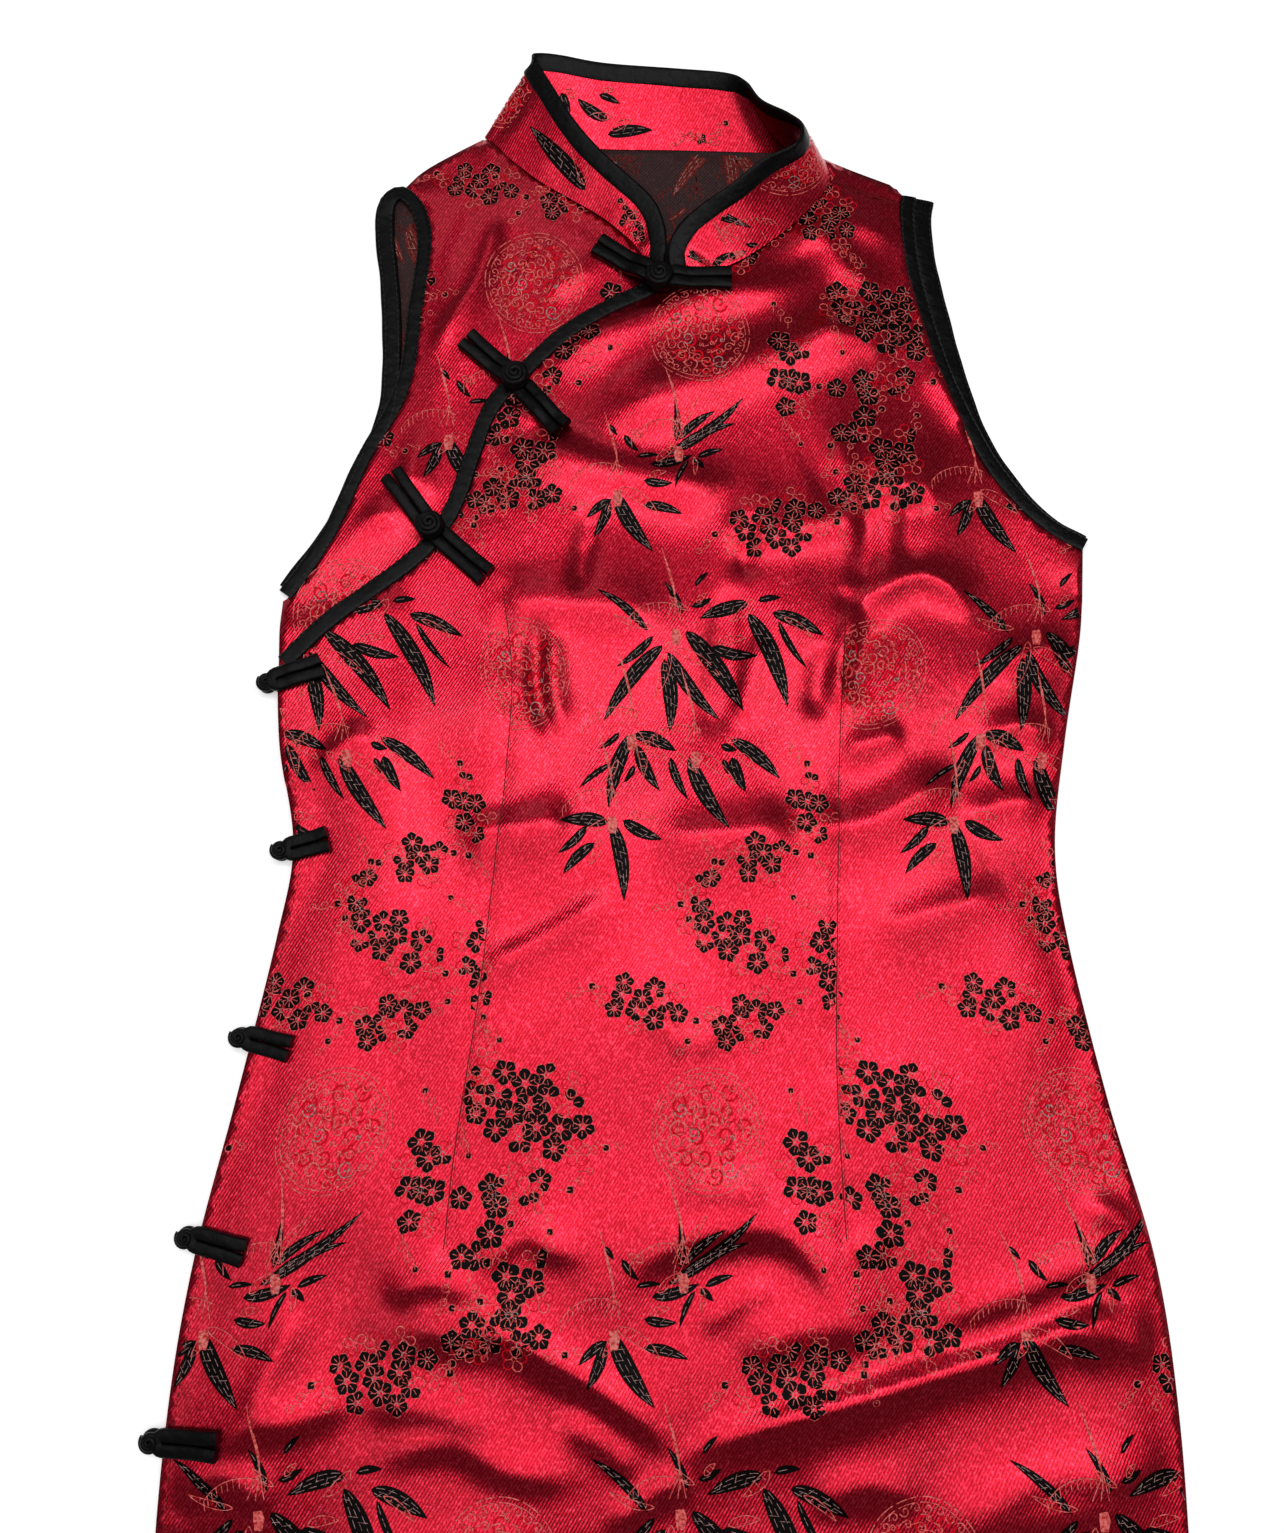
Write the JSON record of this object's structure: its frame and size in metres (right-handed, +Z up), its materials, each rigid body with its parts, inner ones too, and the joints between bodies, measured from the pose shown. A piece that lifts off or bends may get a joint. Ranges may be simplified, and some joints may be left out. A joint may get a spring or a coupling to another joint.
{
  "type": "maxi dress",
  "caption": "Sleeveless maxi dress with a standing collar, a slanting front opening, bound edges and knotted cord fastenings, lying flat with its front up.",
  "frame": {"origin": "middle of the dress's outline in plan, on the surface that it lies on", "axes": "+Y from the hem towards the collar, +X towards the wearer's left side, +Z up, out of the front"},
  "size_m": [0.5008, 1.411, 0.038],
  "materials": {
    "brocade": "red satin brocade with woven bamboo and blossom, smooth and shiny",
    "binding": "black satin bias binding, low sheen",
    "cord": "black satin cord, low sheen"
  },
  "bodies": {
    "root": {"armhole_left": "binding", "armhole_right_back": "binding", "armhole_right_front": "binding", "back": "brocade", "collar": "brocade", "collar_binding": "binding", "frog_armhole_knot": "cord", "frog_armhole_left": "cord", "frog_armhole_right": "cord", "frog_chest_knot": "cord", "frog_chest_left": "cord", "frog_chest_right": "cord", "frog_neck_knot": "cord", "frog_neck_left": "cord", "frog_neck_right": "cord", "frog_side_1_back": "cord", "frog_side_1_front": "cord", "frog_side_1_knot": "cord", "frog_side_2_back": "cord", "frog_side_2_front": "cord", "frog_side_2_knot": "cord", "frog_side_3_back": "cord", "frog_side_3_front": "cord", "frog_side_3_knot": "cord", "frog_side_4_back": "cord", "frog_side_4_front": "cord", "frog_side_4_knot": "cord", "frog_side_5_back": "cord", "frog_side_5_front": "cord", "frog_side_5_knot": "cord", "front_main": "brocade", "front_under": "brocade", "opening_binding": "binding"}
  },
  "joints": []
}
